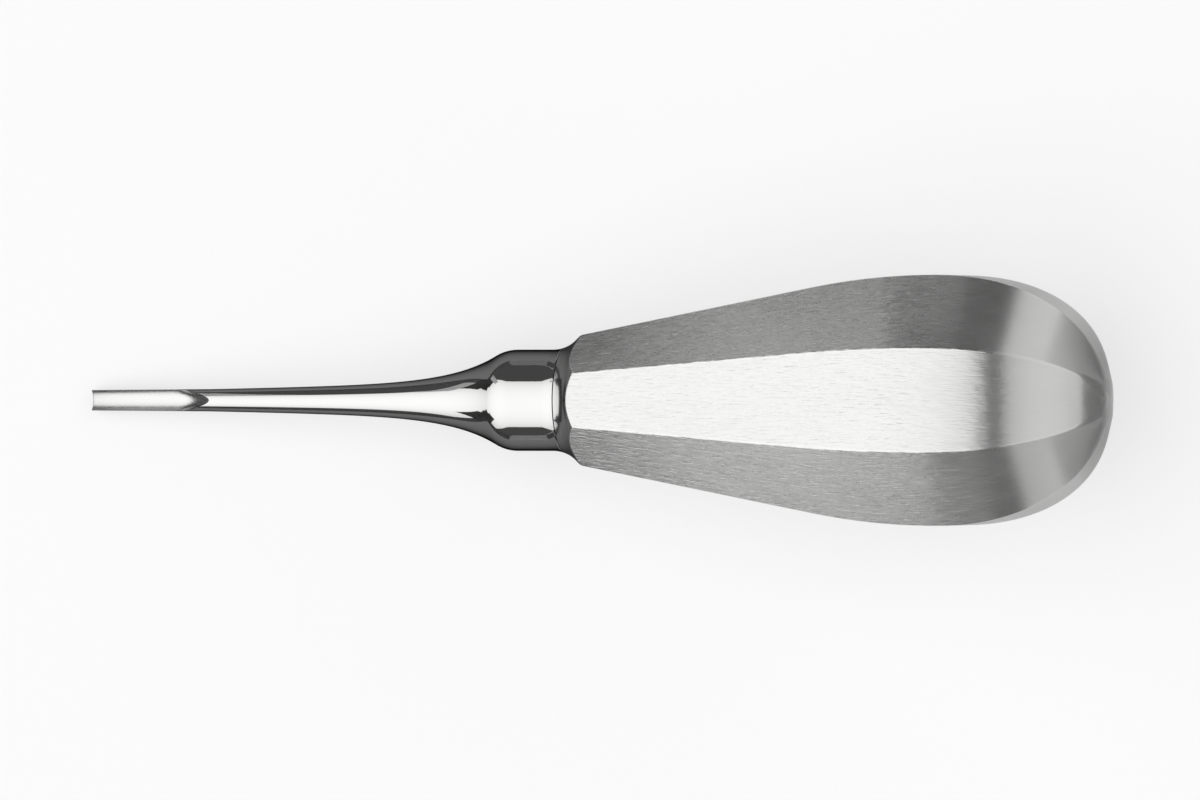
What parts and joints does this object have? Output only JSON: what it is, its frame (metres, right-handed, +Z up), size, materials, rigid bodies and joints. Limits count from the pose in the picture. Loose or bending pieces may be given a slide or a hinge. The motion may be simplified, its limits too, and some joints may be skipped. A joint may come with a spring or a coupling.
{
  "type": "dental root elevator",
  "caption": "Straight dental root elevator: gouge-shaped blade, flared round shank with a collar, and an octagonal pear-shaped steel handle.",
  "frame": {"origin": "centre of the bounding box's base, on the surface the elevator lies on", "axes": "+X from the blade's tip towards the butt of the handle, +Z up with the blade's hollow side up; the tool's own axis rises 7.8 degrees towards +X"},
  "size_m": [0.1544, 0.0368, 0.0379],
  "materials": {
    "polished_steel": "mirror-polished stainless steel",
    "satin_steel": "satin stainless steel, brushed along the handle"
  },
  "bodies": {
    "root": {"working_end": "polished_steel", "handle": "satin_steel"}
  },
  "joints": []
}
